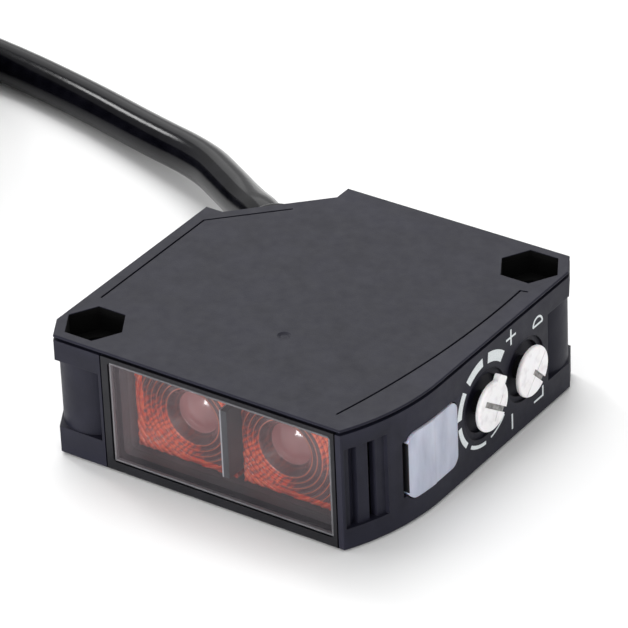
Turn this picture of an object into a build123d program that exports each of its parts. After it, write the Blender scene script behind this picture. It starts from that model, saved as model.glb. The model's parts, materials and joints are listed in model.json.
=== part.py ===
from build123d import *
import math
import os

# Square photoelectric sensor with a built-in amplifier and a fixed cable.
# Millimetres. +Z is out of the large top face, the lens face looks along -Y and
# the control face along +X. The origin is under the middle of the sensor's box.

# ---- driving dimensions ----
BODY = 50.0               # overall length along X and along Y, without the dials
HEIGHT = 17.8             # case thickness along Z
HALF = BODY / 2
MID_Z = HEIGHT / 2        # lenses, dials and cable are all at mid-thickness
WALL = 1.4
NOSE_RADIUS = 31.0        # large arc that joins the control face to the lens face
NOSE_TANGENT_Y = -9.3     # where that arc starts on the control face
CORNER_X, CORNER_Y = 2.0, 3.5      # small plan cuts beside the nut pockets
STEP_NEAR, STEP_FAR = 11.5, 22.3   # plan of the stepped 45 degree cable corner

LIP = 0.25                # thin edge of the top cover
SHADOW_GAP = 0.5          # groove under that edge
SHADOW_DEPTH = 0.5
SHELL_TOP = HEIGHT - LIP - SHADOW_GAP
SPIGOT = 0.9              # depth the cover reaches into the shell
FIT_GAP = 0.05
EDGE = 0.15               # broken edges of the mouldings
GROOVE_W, GROOVE_DEEP = 0.28, 0.3          # engraved lines in the top face
GROOVE_CORNERS = ((-23.1, -14.4), (-23.1, 8.3), (-14.75, 16.6))
GROOVE_ARC = ((18.3, -21.9), (21.3, -5.5), (22.15, 14.3))
GROOVE_TAIL = (23.05, 14.5)
GATE_X, GATE_Y = 2.3, -10.1                # moulding gate, a small round dimple
GATE_R0, GATE_R1, GATE_DEEP = 0.9, 0.5, 0.2

# ---- mounting corners ----
MOUNT_AT = 20.0           # the two M4 holes are at (-20, -20) and (20, 20)
MOUNT_BLOCK = 15.0        # inner corner of each solid mounting block
HOLE_R = 2.15
NUT_FLATS = 7.3
NUT_DEPTH = 3.4
COLUMN_R = 4.85           # round column through each hollowed corner
RECESS_AT = 16.2
RECESS_Z0, RECESS_Z1 = 4.1, 14.1

# ---- lens face ----
BEZEL_X0, BEZEL_X1 = -15.8, 19.95
BEZEL_GAP = 0.2
BEZEL_T = 2.5
WINDOW_X0, WINDOW_X1 = -14.6, 19.25
WINDOW_Z0, WINDOW_Z1 = 1.5, 16.45
WINDOW_T = 1.2
WINDOW_FIT = 0.03
WINDOW_SINK = 0.15
WINDOW_LEDGE = 0.8
WINDOW_CORNER = 0.6
GASKET_T = 0.4
LENS_X = (-5.0, 9.2)      # optical axes of the emitter and of the receiver
LENS_FRONT = -20.6
LENS_T = 2.4
LENS_BOX_Z0, LENS_BOX_Z1 = 1.9, 15.9
LENS_X0, LENS_X1 = -13.8, 18.3
LENS_DISC_R, LENS_DOME = 3.0, 0.65     # domed disc at the bottom of a tapered well
LENS_WELL_R, LENS_WELL = 3.95, 1.5
BAFFLE_X, BAFFLE_T = 2.1, 1.1
HOLDER_X0, HOLDER_X1 = -14.8, 19.1
HOLDER_Z0, HOLDER_Z1 = 1.5, 16.1
HOLDER_BACK = -11.6
HOLDER_STEP = 2.6         # how much narrower each side is behind the lenses
BAFFLE_FREE = 2.0         # space above and below the light baffle
CHANNEL_WIDE, CHANNEL_NARROW = 5.2, 2.3

# ---- boards ----
BOARD_T = 1.0
BOARD_X0 = -13.5
BOARD_END_Y = 14.5
OPTIC_BOARD_Y = -6.8
OPTIC_BOARD_X1 = 17.6
OPTIC_BOARD_Z = (4.4, 16.0)
MAIN_BOARD_Z = 2.7
MAIN_BOARD_X1 = 17.4
BOARD_GAP = 0.3
BOARD_TOP = MAIN_BOARD_Z + BOARD_T
CONTROL_BOARD_X = 18.4
CONTROL_BOARD_Y0 = -15.6
CONTROL_BOARD_Z = (4.2, 14.6)
PEG_X, PEG_Y, PEG_HALF = (-10.5, 13.5), (-2.0, 12.0), 1.0

# ---- parts on the boards ----
LED_R, LED_T, LED_FLANGE_R, LED_FLANGE_T = 1.5, 2.6, 1.9, 0.8
DIODE_HALF, DIODE_T, DIODE_EYE_R, DIODE_EYE_T = 1.9, 1.4, 1.2, 0.3
CAN_HALF, CAN_T, CAN_SHEET, CAN_EYE_R = 3.3, 3.6, 0.3, 1.7
PIN, PIN_PITCH, PIN_Z = 0.5, 2.54, 5.7
PIN_REACH = 1.4
FRONT_PINS, FRONT_PIN_X = 6, -8.0
SIDE_PINS, SIDE_PIN_Y = 4, 3.0
CHIP_Y, CHIP_HALF, CHIP_LIFT, CHIP_T = 4.0, 3.5, 0.15, 1.5
CHIP_PINS, CHIP_PITCH, CHIP_PIN_W, CHIP_PIN_T, CHIP_PIN_REACH = 7, 0.9, 0.3, 0.4, 4.4
TRANSISTOR_X, TRANSISTOR_Y = (-10.5, -6.2), -1.4
TRANSISTOR_HALF, TRANSISTOR_T, TAB_HALF, TAB_LONG, TAB_T = 1.6, 1.5, 1.1, 1.0, 0.4
CAPACITORS = ((11.0, -1.0, 3.0, 7.0), (12.0, 9.0, 2.5, 7.0), (6.6, 11.4, 1.9, 5.4))
RESISTOR_X, RESISTOR_Y = (-2.4, 0.0, 2.4), (-3.6, -2.0, 10.2, 11.8)
RESISTOR_SIZE = (1.6, 0.8, 0.5)

# ---- control face ----
SCALE_Y, MODE_Y = 1.05, 10.65  # axes of the two dials along Y
DIAL_PROUD = 1.4
DIAL_T, DIAL_ROUND = 0.75, 0.3
SCALE_DIAL_R, MODE_DIAL_R = 3.45, 3.5
SCALE_WELL_R, MODE_WELL_R = 4.85, 4.5      # shallow outer step of the round recesses
SCALE_SEAT_R, MODE_SEAT_R = 3.95, 3.8      # their deep middle
WELL_STEP, DIAL_SEAT = 0.35, 1.0           # depths of the two
BOSS_T = 1.6                   # thickness added behind each recess
SHAFT_R = 1.5
RUNNING = 0.05
SHAFT_END = 20.2
TRIMMER_T, TRIMMER_SIZE, SWITCH_SIZE = 2.2, 6.4, 6.0
TRIMMER_FREE = 0.2
SLOT_W, SLOT_DEEP = 0.75, 0.45
LINE_W, LINE_DEEP = 0.16, 0.15             # fine line across each slot
POINTER_ANGLE, SLOT_ANGLE, MODE_ANGLE = 55.0, -35.0, -45.0
POINTER_R, POINTER_LONG, POINTER_W = 4.15, 1.5, 2.1
SEAL_R = 0.5
SEAL_SIDE = 0.02
SEAL_INNER_R = SHAFT_R + RUNNING
SEAL_OUTER_R = SEAL_INNER_R + 2 * SEAL_R + SEAL_SIDE
SEAL_FRONT = HALF - DIAL_SEAT - 0.7
SEAL_BACK = HALF - WALL - BOSS_T - 0.1
LAMP_Y0, LAMP_Y1 = -15.85, -5.5
LAMP_Z0, LAMP_Z1 = 3.6, 13.2
LAMP_CORNER = 1.5
LAMP_PROUD = 0.25
LAMP_GAP = 0.12
LAMP_SLIT, LAMP_SLIT_DEEP = 0.7, 1.2    # dark slit along its nose side
LAMP_BEHIND = 0.8              # how far the window reaches behind the wall
LAMP_STEP, LAMP_STEP_Y = 0.12, -10.75
LED_Y = (-13.4, -8.6)
SMALL_LED = (0.9, 1.6, 1.4)    # indicator LED along X, Y and Z
PRINT_T, PRINT_W = 0.04, 0.28
MARKS = 6                      # strokes of the scale, each thinner and closer in
MARK_START, MARK_PITCH, MARK_SWEEP = 48.0, 46.5, 35.0
MARK_R, MARK_R_STEP = 6.9, 0.15
MARK_W, MARK_W_STEP = 1.5, 0.25
MARK_SHIFT_Y, MARK_SHIFT_Z = 0.15, 0.2     # the print sits a little off the dial's axis
SIGN_Y, SIGN_HALF = 7.4, 1.0
PLUS_Z, MINUS_Z = 15.4, 2.75
MODE_SIGN_Y, BOW_Z, BOW_R, CORNER_Z, CORNER_TALL = 13.8, 13.95, 1.1, 2.7, 1.3
GRIP_Y0, GRIP_Y1 = -24.6, -18.85
GRIP_Z0, GRIP_Z1 = 3.2, 14.9
GRIP_SHALLOW, GRIP_DEEP = 0.5, 1.9
GRIP_SLOTS_Y = (-23.15, -20.65)
GRIP_SLOT_W = 1.05
GRIP_SIDE = 0.6

# ---- cable ----
CABLE_R = 3.0
OUT = Vector(-math.sqrt(0.5), math.sqrt(0.5), 0)   # the way the cable leaves
FACE_REACH = (STEP_NEAR + STEP_FAR) / math.sqrt(2)  # origin to the cable face
SLEEVE_R, SLEEVE_T, SLEEVE_ROUND = 5.2, 7.2, 0.7    # strain relief outside the case
RIB_FROM, RIB_PITCH, RIB_W, RIB_DEEP = 1.2, 1.8, 0.8, 0.8
NECK_R, FLANGE_R, FLANGE_T = 3.9, 4.9, 1.4
MOUTH_REACH = FACE_REACH + SLEEVE_T
FIRST_LEG = 4.0           # the cable runs on straight before it bends
ENTRY_END = FACE_REACH - 6.4
CRIMP_FROM, CRIMP_W, CRIMP_T = 0.7, 2.0, 0.8
LEAD_R, LEAD_SPREAD, LEAD_OUT, LEAD_DROP, LEAD_BEND = 0.55, 1.5, 2.2, 2.4, 0.7
PAD_X, PAD_PITCH, PAD_Y = -11.4, 1.9, 5.4
TIE_T, TIE_W = 0.8, 3.6
TIE_ANGLES = (245.0, 345.0)
HEAD_HALF, HEAD_LONG, HEAD_RISE = 2.7, 3.2, 2.4
TAIL_HALF, TAIL_AT, TAIL_T, TAIL_RISE = 1.8, 0.6, 0.8, 9.0
COIL_X, COIL_Y = -122.0, 10.0
COIL_PITCH = 2 * CABLE_R
COIL_R = 36.0             # radius to the middle of the turns
COIL_LAYERS = 3
COIL_IN = COIL_R - COIL_LAYERS * CABLE_R
COIL_OUT = COIL_R + COIL_LAYERS * CABLE_R
COIL_STEP = TIE_T + (COIL_LAYERS - 1) * COIL_PITCH
COIL_TOP = TIE_T + COIL_LAYERS * COIL_PITCH
CORE_R, CORE_SPREAD, TIP_R = 0.65, 1.4, 0.4
CORE_NAMES = ("brown", "blue", "black")
STUB_FROM, STUB_TO = 95.0, 135.0        # last stretch of sheath, degrees round the coil
CORE_TO = 205.0
TIP_TO = 217.0


def reach_point(reach, z=MID_Z):
    return Vector(OUT.X * reach, OUT.Y * reach, z)


CABLE_ROUTE = [
    reach_point(MOUTH_REACH),
    reach_point(MOUTH_REACH + FIRST_LEG),
    Vector(-31.0, 29.1, 7.1),
    Vector(-37.6, 33.8, 6.1),
    Vector(-45.8, 39.3, 5.0),
    Vector(-57.9, 43.3, 3.8),
    Vector(-72.8, 48.0, 3.1),
    Vector(-91.0, 51.6, 3.1),
    Vector(-107.0, 52.4, 3.5),
    Vector(COIL_X, COIL_Y + COIL_R + COIL_PITCH, CABLE_R + TIE_T),
]


def save(shape, name, colour):
    """Write one node as one STEP file, with its solids side by side."""
    solids = shape.solids()
    out = solids[0] if len(solids) == 1 else Compound(children=list(solids))
    out.label = name
    out.color = Color(*colour)
    export_step(out, f"parts/{name}.step")


def box(x0, x1, y0, y1, z0, z1):
    middle = ((x0 + x1) / 2, (y0 + y1) / 2, (z0 + z1) / 2)
    return Pos(*middle) * Box(x1 - x0, y1 - y0, z1 - z0)


def slab(face, z0, z1):
    """A plan face raised from z0 to z1."""
    return Pos(0, 0, z0) * extrude(face, z1 - z0)


def rod_x(y, x0, x1, r, z=MID_Z):
    return Pos((x0 + x1) / 2, y, z) * Rot(0, 90, 0) * Cylinder(r, x1 - x0)


def rod_y(x, y0, y1, r, z=MID_Z):
    return Pos(x, (y0 + y1) / 2, z) * Rot(90, 0, 0) * Cylinder(r, y1 - y0)


def rod_out(reach0, reach1, r0, r1=None):
    """A cylinder or cone along the cable's way out, between two reaches."""
    plane = Plane(origin=reach_point((reach0 + reach1) / 2), z_dir=OUT)
    span = reach1 - reach0
    return plane * (Cylinder(r0, span) if r1 is None else Cone(r0, r1, span))


def plan_face(grow=0.0):
    """The sensor's outline seen from above; grow moves the whole line outwards."""
    centre_x = HALF - NOSE_RADIUS
    nose_y = -HALF - NOSE_TANGENT_Y
    nose_x = centre_x + math.sqrt(NOSE_RADIUS**2 - nose_y**2)
    half_turn = math.asin(-nose_y / NOSE_RADIUS) / 2
    arc_mid = (centre_x + NOSE_RADIUS * math.cos(half_turn),
               NOSE_TANGENT_Y - NOSE_RADIUS * math.sin(half_turn))
    edges = [Line((CORNER_X - HALF, -HALF), (nose_x, -HALF)),
             ThreePointArc((nose_x, -HALF), arc_mid, (HALF, NOSE_TANGENT_Y))]
    corners = [(HALF, NOSE_TANGENT_Y), (HALF, HALF - CORNER_Y), (HALF - CORNER_X, HALF),
               (-STEP_NEAR, HALF), (-STEP_NEAR, STEP_FAR), (-STEP_FAR, STEP_NEAR),
               (-HALF, STEP_NEAR), (-HALF, CORNER_Y - HALF), (CORNER_X - HALF, -HALF)]
    edges += [Line(a, b) for a, b in zip(corners, corners[1:])]
    face = make_face(edges)
    if grow:
        face = offset(face, grow, kind=Kind.INTERSECTION)
    return face


def both_corners(shape):
    """A feature of the front-left mounting corner, and its twin across the body."""
    return shape + Rot(0, 0, 180) * shape


def cavity_face(shrink=0.0):
    """Plan of the space inside the shell, clear of the two mounting blocks."""
    block = Pos(-(HALF + MOUNT_BLOCK) / 2, -(HALF + MOUNT_BLOCK) / 2)
    block *= Rectangle(HALF - MOUNT_BLOCK + 2 * shrink, HALF - MOUNT_BLOCK + 2 * shrink)
    return plan_face(-WALL - shrink) - block - Rot(0, 0, 180) * block


def corner_recess():
    """The hollow round each mounting column, between its upper and lower tab."""
    reach = HALF + 1
    hollow = box(-reach, -RECESS_AT, -reach, -RECESS_AT, RECESS_Z0, RECESS_Z1)
    hollow -= box(-MOUNT_AT, 0, -MOUNT_AT, 0, 0, HEIGHT)
    hollow -= Pos(-MOUNT_AT, -MOUNT_AT, MID_Z) * Cylinder(COLUMN_R, HEIGHT)
    return both_corners(hollow)


def mount_holes():
    """M4 clearance holes with a hexagonal pocket for the nut in the top face."""
    hole = Pos(-MOUNT_AT, -MOUNT_AT, MID_Z) * Cylinder(HOLE_R, 2 * HEIGHT)
    nut = slab(RegularPolygon(NUT_FLATS / 2, 6, major_radius=False), HEIGHT - NUT_DEPTH, HEIGHT + 1)
    return both_corners(hole + Pos(-MOUNT_AT, -MOUNT_AT, 0) * nut)


def lamp_plug(gap=0.0):
    """Rounded block along X with the size of the indicator window."""
    size_y = LAMP_Y1 - LAMP_Y0 + 2 * gap
    size_z = LAMP_Z1 - LAMP_Z0 + 2 * gap
    face = RectangleRounded(size_y, size_z, LAMP_CORNER)
    centre = (HALF / 2, (LAMP_Y0 + LAMP_Y1) / 2, (LAMP_Z0 + LAMP_Z1) / 2)
    plane = Plane(origin=centre, x_dir=(0, 1, 0), z_dir=(1, 0, 0))
    return extrude(plane * face, HALF)


def lamp_slit():
    """Narrow upright slit in the nose beside the indicator window."""
    z0, z1 = LAMP_Z0 + LAMP_CORNER / 2, LAMP_Z1 - LAMP_CORNER / 2
    block = box(0, HALF + 1, LAMP_Y0 - LAMP_SLIT, LAMP_Y0, z0, z1)
    return block & slab(plan_face(1) - plan_face(-LAMP_SLIT_DEEP), 0, HEIGHT)


def grip_pocket():
    """Shallow pocket in the curved nose, with two deep upright slots."""
    outside = slab(plan_face(1) - plan_face(-GRIP_SHALLOW), GRIP_Z0, GRIP_Z1)
    pocket = outside & box(MOUNT_AT - 2, HALF, GRIP_Y0, GRIP_Y1, GRIP_Z0, GRIP_Z1)
    deep = slab(plan_face(1) - plan_face(-GRIP_DEEP), GRIP_Z0, GRIP_Z1)
    for y in GRIP_SLOTS_Y:
        slot = box(BEZEL_X1 + GRIP_SIDE, HALF, y - GRIP_SLOT_W / 2, y + GRIP_SLOT_W / 2, GRIP_Z0, GRIP_Z1)
        pocket += deep & slot
    return pocket


def case_shell():
    shell = slab(plan_face(), 0, SHELL_TOP)
    shell = chamfer(shell.faces().sort_by(Axis.Z)[0].edges(), EDGE * 2)
    shell -= slab(cavity_face(), WALL, HEIGHT)
    shell -= box(BEZEL_X0, BEZEL_X1, -HALF - 1, BEZEL_T - HALF, -1, HEIGHT)
    shell -= box(HOLDER_X0 - FIT_GAP, HOLDER_X1 + FIT_GAP, BEZEL_T - HALF - 1, -HALF + WALL + 2,
                 HOLDER_Z0 - FIT_GAP, HEIGHT)
    shell -= corner_recess()
    shell -= mount_holes()
    shell -= grip_pocket()
    shell -= lamp_plug(LAMP_GAP)
    shell -= lamp_slit()
    wells = ((SCALE_Y, SCALE_WELL_R, SCALE_SEAT_R), (MODE_Y, MODE_WELL_R, MODE_SEAT_R))
    for y, well, seat in wells:
        shell += rod_x(y, HALF - WALL - BOSS_T, HALF - WALL, seat)
        shell -= rod_x(y, HALF - WELL_STEP, HALF + 1, well)
        shell -= rod_x(y, HALF - DIAL_SEAT, HALF + 1, seat)
        shell -= rod_x(y, HALF / 2, HALF, SHAFT_R + RUNNING)
        shell -= rod_x(y, SEAL_BACK, SEAL_FRONT, SEAL_OUTER_R)
    shell -= rod_out(FACE_REACH - 2 * WALL, FACE_REACH + 1, NECK_R)
    for x in PEG_X:
        for y in PEG_Y:
            shell += box(x - PEG_HALF, x + PEG_HALF, y - PEG_HALF, y + PEG_HALF, WALL / 2, MAIN_BOARD_Z)
    return shell


def top_cover():
    lip = slab(plan_face(), HEIGHT - LIP, HEIGHT)
    lip = chamfer(lip.faces().sort_by(Axis.Z)[-1].edges(), EDGE)
    neck = slab(plan_face(-SHADOW_DEPTH), SHELL_TOP, HEIGHT - LIP)
    spigot = slab(cavity_face(FIT_GAP), SHELL_TOP - SPIGOT, SHELL_TOP)
    spigot -= box(BEZEL_X0 - 1, HOLDER_X1 + 1, -HALF, HOLDER_BACK + BOARD_GAP, 0, SHELL_TOP)
    cover = lip + neck + spigot
    cover -= mount_holes()
    cover -= cover_grooves()
    return cover


def cover_grooves():
    """Two fine engraved lines and the gate dimple in the top face."""
    left = Polyline(*GROOVE_CORNERS)
    right = ThreePointArc(*GROOVE_ARC) + Line(GROOVE_ARC[-1], GROOVE_TAIL)
    gate = Cone(GATE_R0, GATE_R1, GATE_DEEP)
    grooves = Pos(GATE_X, GATE_Y, HEIGHT - GATE_DEEP / 2) * Rot(180, 0, 0) * gate
    for line in (left, right):
        track = offset(line, GROOVE_W / 2, kind=Kind.INTERSECTION, side=Side.BOTH)
        grooves += slab(make_face(track.edges()), HEIGHT - GROOVE_DEEP, HEIGHT + 1)
    return grooves


def front_bezel():
    bezel = box(BEZEL_X0 + BEZEL_GAP, BEZEL_X1 - BEZEL_GAP, -HALF, BEZEL_T - HALF, 0, SHELL_TOP)
    bezel = chamfer(bezel.edges().filter_by(Axis.X).sort_by(Axis.Y)[:2].sort_by(Axis.Z)[0], EDGE * 2)
    bezel -= window_block(0, -HALF - 1, -HALF + WINDOW_SINK + WINDOW_T, WINDOW_CORNER)
    bezel -= window_block(-WINDOW_LEDGE, -HALF, BEZEL_T - HALF + 1, WINDOW_CORNER)
    return bezel


def window_block(grow, y0, y1, corner):
    """A rounded block along Y with the window's size, grown all round."""
    face = RectangleRounded(WINDOW_X1 - WINDOW_X0 + 2 * grow, WINDOW_Z1 - WINDOW_Z0 + 2 * grow, corner)
    centre = ((WINDOW_X0 + WINDOW_X1) / 2, y0, (WINDOW_Z0 + WINDOW_Z1) / 2)
    plane = Plane(origin=centre, x_dir=(-1, 0, 0), z_dir=(0, 1, 0))
    return extrude(plane * face, y1 - y0)


def front_window():
    front = -HALF + WINDOW_SINK
    window = window_block(-WINDOW_FIT, front, front + WINDOW_T, WINDOW_CORNER)
    return chamfer(window.faces().sort_by(Axis.Y)[0].edges(), EDGE)


def window_gasket():
    """Flat seal between the bezel and the lens holder."""
    y0 = BEZEL_T - HALF
    ring = box(HOLDER_X0, HOLDER_X1, y0, y0 + GASKET_T, HOLDER_Z0, HOLDER_Z1)
    return ring - window_block(-WINDOW_LEDGE, y0 - 1, y0 + 1, WINDOW_CORNER)


def lens_holder():
    """Black frame: an open front for both lenses and a tapered channel behind each."""
    y0 = BEZEL_T - HALF + GASKET_T
    back = LENS_FRONT + LENS_T
    holder = box(HOLDER_X0, HOLDER_X1, y0, back + 1, HOLDER_Z0, HOLDER_Z1)
    holder += box(HOLDER_X0 + HOLDER_STEP, HOLDER_X1 - HOLDER_STEP, back, HOLDER_BACK, HOLDER_Z0, HOLDER_Z1)
    holder -= box(LENS_X0, LENS_X1, y0 - 1, back, LENS_BOX_Z0, LENS_BOX_Z1)
    for x in LENS_X:
        middle = (back + HOLDER_BACK) / 2
        cone = Cone(CHANNEL_WIDE, CHANNEL_NARROW, HOLDER_BACK - back)
        holder -= Pos(x, middle, MID_Z) * Rot(-90, 0, 0) * cone
    return holder


def light_baffle():
    """Upright wall that keeps the emitted light off the receiver."""
    y0 = -HALF + WINDOW_SINK + WINDOW_T
    return box(BAFFLE_X - BAFFLE_T / 2, BAFFLE_X + BAFFLE_T / 2, y0, LENS_FRONT + LENS_T,
               LENS_BOX_Z0 + BAFFLE_FREE, LENS_BOX_Z1 - BAFFLE_FREE)


def lens(index):
    """Rectangular moulded lens; a domed disc lies at the bottom of a tapered well."""
    side = BAFFLE_T / 2
    x0 = LENS_X0 if index == 0 else BAFFLE_X + side
    x1 = BAFFLE_X - side if index == 0 else LENS_X1
    plate = box(x0, x1, LENS_FRONT, LENS_FRONT + LENS_T, LENS_BOX_Z0, LENS_BOX_Z1)
    bottom = LENS_FRONT + LENS_WELL
    well = Cone(LENS_WELL_R, LENS_DISC_R, LENS_WELL)
    plate -= Pos(LENS_X[index], LENS_FRONT + LENS_WELL / 2, MID_Z) * Rot(-90, 0, 0) * well
    sphere_r = (LENS_DISC_R**2 + LENS_DOME**2) / (2 * LENS_DOME)
    ball = Pos(LENS_X[index], bottom - LENS_DOME + sphere_r, MID_Z) * Sphere(sphere_r)
    dome = ball & rod_y(LENS_X[index], LENS_FRONT, bottom + LENS_DOME / 2, LENS_DISC_R)
    return plate + dome


def emitter_led():
    """Round-topped LED with its flange, standing on the optic board."""
    x, y = LENS_X[0], OPTIC_BOARD_Y
    body = rod_y(x, y - LED_T, y, LED_R) + rod_y(x, y - LED_FLANGE_T, y, LED_FLANGE_R)
    return body + Pos(x, y - LED_T, MID_Z) * Sphere(LED_R)


def receiver_photodiode():
    x, y = LENS_X[1], OPTIC_BOARD_Y
    body = box(x - DIODE_HALF, x + DIODE_HALF, y - DIODE_T, y, MID_Z - DIODE_HALF, MID_Z + DIODE_HALF)
    return body + rod_y(x, y - DIODE_T - DIODE_EYE_T, y - DIODE_T, DIODE_EYE_R)


def shield_can():
    """Folded metal box over the receiver, open to the board, with a round eye."""
    x, y = LENS_X[1], OPTIC_BOARD_Y
    half, hollow = CAN_HALF, CAN_HALF - CAN_SHEET
    can = box(x - half, x + half, y - CAN_T, y, MID_Z - half, MID_Z + half)
    can -= box(x - hollow, x + hollow, y - CAN_T + CAN_SHEET, y + 1, MID_Z - hollow, MID_Z + hollow)
    return can - rod_y(x, y - CAN_T - 1, y - CAN_T + 1, CAN_EYE_R)


def optic_board():
    return box(BOARD_X0, OPTIC_BOARD_X1, OPTIC_BOARD_Y, OPTIC_BOARD_Y + BOARD_T, *OPTIC_BOARD_Z)


def main_board():
    """Flat board on the shell's four pegs; it carries the amplifier and the output."""
    y0 = OPTIC_BOARD_Y + BOARD_T + BOARD_GAP
    return box(BOARD_X0, MAIN_BOARD_X1, y0, BOARD_END_Y, MAIN_BOARD_Z, BOARD_TOP)


def control_board():
    return box(CONTROL_BOARD_X, CONTROL_BOARD_X + BOARD_T, CONTROL_BOARD_Y0, BOARD_END_Y,
               *CONTROL_BOARD_Z)


def board_links():
    """Angled solder pins that carry signals from board to board."""
    half, low = PIN / 2, PIN_Z - PIN
    pins = []
    for i in range(FRONT_PINS):
        x, y = FRONT_PIN_X + PIN_PITCH * i, OPTIC_BOARD_Y + BOARD_T
        pins.append(box(x - half, x + half, y, y + PIN_REACH, low, PIN_Z)
                    + box(x - half, x + half, y + PIN_REACH - PIN, y + PIN_REACH, BOARD_TOP, PIN_Z))
    for i in range(SIDE_PINS):
        x, y = CONTROL_BOARD_X - PIN_REACH, SIDE_PIN_Y + PIN_PITCH * i
        pins.append(box(x - PIN, CONTROL_BOARD_X, y - half, y + half, low, PIN_Z)
                    + box(x - PIN, x, y - half, y + half, BOARD_TOP, PIN_Z))
    return Compound(children=pins)


def signal_chip():
    """Square amplifier chip with its pins on all four sides."""
    chip = box(-CHIP_HALF, CHIP_HALF, CHIP_Y - CHIP_HALF, CHIP_Y + CHIP_HALF,
               BOARD_TOP + CHIP_LIFT, BOARD_TOP + CHIP_T)
    half, reach, top = CHIP_PIN_W / 2, CHIP_PIN_REACH, BOARD_TOP + CHIP_PIN_T
    for i in range(CHIP_PINS):
        step = CHIP_PITCH * (i - (CHIP_PINS - 1) / 2)
        y = CHIP_Y + step
        chip += box(-reach, reach, y - half, y + half, BOARD_TOP, top)
        chip += box(step - half, step + half, CHIP_Y - reach, CHIP_Y + reach, BOARD_TOP, top)
    return chip


def output_transistors():
    half, y = TRANSISTOR_HALF, TRANSISTOR_Y
    bodies = []
    for x in TRANSISTOR_X:
        body = box(x - half, x + half, y - half, y + half, BOARD_TOP, BOARD_TOP + TRANSISTOR_T)
        bodies.append(body + box(x - TAB_HALF, x + TAB_HALF, y + half, y + half + TAB_LONG,
                                 BOARD_TOP, BOARD_TOP + TAB_T))
    return Compound(children=bodies)


def capacitors():
    cans = [Pos(x, y, BOARD_TOP + h / 2) * Cylinder(r, h) for x, y, r, h in CAPACITORS]
    return Compound(children=cans)


def resistors():
    chips = [Pos(x, y, BOARD_TOP + RESISTOR_SIZE[2] / 2) * Box(*RESISTOR_SIZE)
             for x in RESISTOR_X for y in RESISTOR_Y]
    return Compound(children=chips)


def indicator_window():
    """Milky window over the two indicator LEDs; it follows the curved nose."""
    skin = slab(plan_face(LAMP_PROUD) - plan_face(-WALL - LAMP_BEHIND), 0, HEIGHT)
    window = skin & lamp_plug()
    window -= box(HALF + LAMP_PROUD - LAMP_STEP, HALF + 2, LAMP_STEP_Y, LAMP_Y1 + 1, 0, HEIGHT)
    return window


def indicator_led(y):
    deep, wide, tall = SMALL_LED
    return Pos(CONTROL_BOARD_X + BOARD_T + deep / 2, y, MID_Z) * Box(deep, wide, tall)


def seal(y):
    """O-ring on a dial's shaft, held in its seat behind the wall."""
    x = SEAL_FRONT - SEAL_R - SEAL_SIDE
    return Pos(x, y, MID_Z) * Rot(0, 90, 0) * Torus(SEAL_INNER_R + SEAL_R, SEAL_R)


def dial_cut(y, angle, middle, size):
    """A straight cut in a dial's face: its middle and its size along one angle."""
    across, along = middle
    long, wide, deep = size
    bar = Pos(0, along, across) * Box(2 * deep, long, wide)
    return Pos(HALF + DIAL_PROUD, y, MID_Z) * Rot(angle, 0, 0) * bar


def dial_disc(y, radius):
    """Thin disc with rounded rims, held proud of the face on a slim shaft."""
    face = HALF + DIAL_PROUD
    disc = rod_x(y, face - DIAL_T, face, radius)
    disc = fillet(disc.edges().filter_by(GeomType.CIRCLE), DIAL_ROUND)
    return disc + rod_x(y, SHAFT_END, face - DIAL_T / 2, SHAFT_R)


def sensitivity_dial():
    """White dial with a pointer tab and a slot; it turns the sensitivity trimmer."""
    dial = dial_disc(SCALE_Y, SCALE_DIAL_R)
    tab = Pos(0, POINTER_R - POINTER_LONG / 2, 0) * Box(DIAL_T, POINTER_LONG, POINTER_W)
    tab = fillet(tab.edges().filter_by(Axis.X), DIAL_ROUND)
    dial += Pos(HALF + DIAL_PROUD - DIAL_T / 2, SCALE_Y, MID_Z) * Rot(POINTER_ANGLE, 0, 0) * tab
    slot_r0, slot_r1 = -SCALE_DIAL_R * 0.66, SCALE_DIAL_R + 1
    slot = ((0, (slot_r0 + slot_r1) / 2), (slot_r1 - slot_r0, SLOT_W, SLOT_DEEP))
    line = ((0, SCALE_DIAL_R * 0.4), (LINE_W, SCALE_DIAL_R, LINE_DEEP))
    return dial - dial_cut(SCALE_Y, SLOT_ANGLE, *slot) - dial_cut(SCALE_Y, SLOT_ANGLE, *line)


def mode_dial():
    """White selector for light-on and dark-on; its slot runs from centre to rim."""
    dial = dial_disc(MODE_Y, MODE_DIAL_R)
    reach = MODE_DIAL_R + 1
    slot = ((0, reach / 2), (reach, SLOT_W, SLOT_DEEP))
    line = ((0, MODE_DIAL_R * 0.2), (LINE_W, 2 * reach, LINE_DEEP))
    return dial - dial_cut(MODE_Y, MODE_ANGLE, *slot) - dial_cut(MODE_Y, MODE_ANGLE, *line)


def dial_socket(y, size):
    """Body of a trimmer or selector on the control board, with its shaft hole."""
    x = CONTROL_BOARD_X + BOARD_T
    body = Pos(x + TRIMMER_T / 2, y, MID_Z) * Box(TRIMMER_T, size, size)
    return body - rod_x(y, SHAFT_END - TRIMMER_FREE, x + TRIMMER_T + 1, SHAFT_R + RUNNING)


def scale_mark(index):
    """One stroke of the printed sensitivity scale, thinner and closer in at each step."""
    outer = MARK_R - MARK_R_STEP * index
    start = MARK_START + MARK_PITCH * index
    arc0 = CenterArc((0, 0), outer, start, MARK_SWEEP)
    arc1 = CenterArc((0, 0), outer - MARK_W + MARK_W_STEP * index, start, MARK_SWEEP)
    return make_face([arc0, arc1, Line(arc0 @ 0, arc1 @ 0), Line(arc0 @ 1, arc1 @ 1)])


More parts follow.
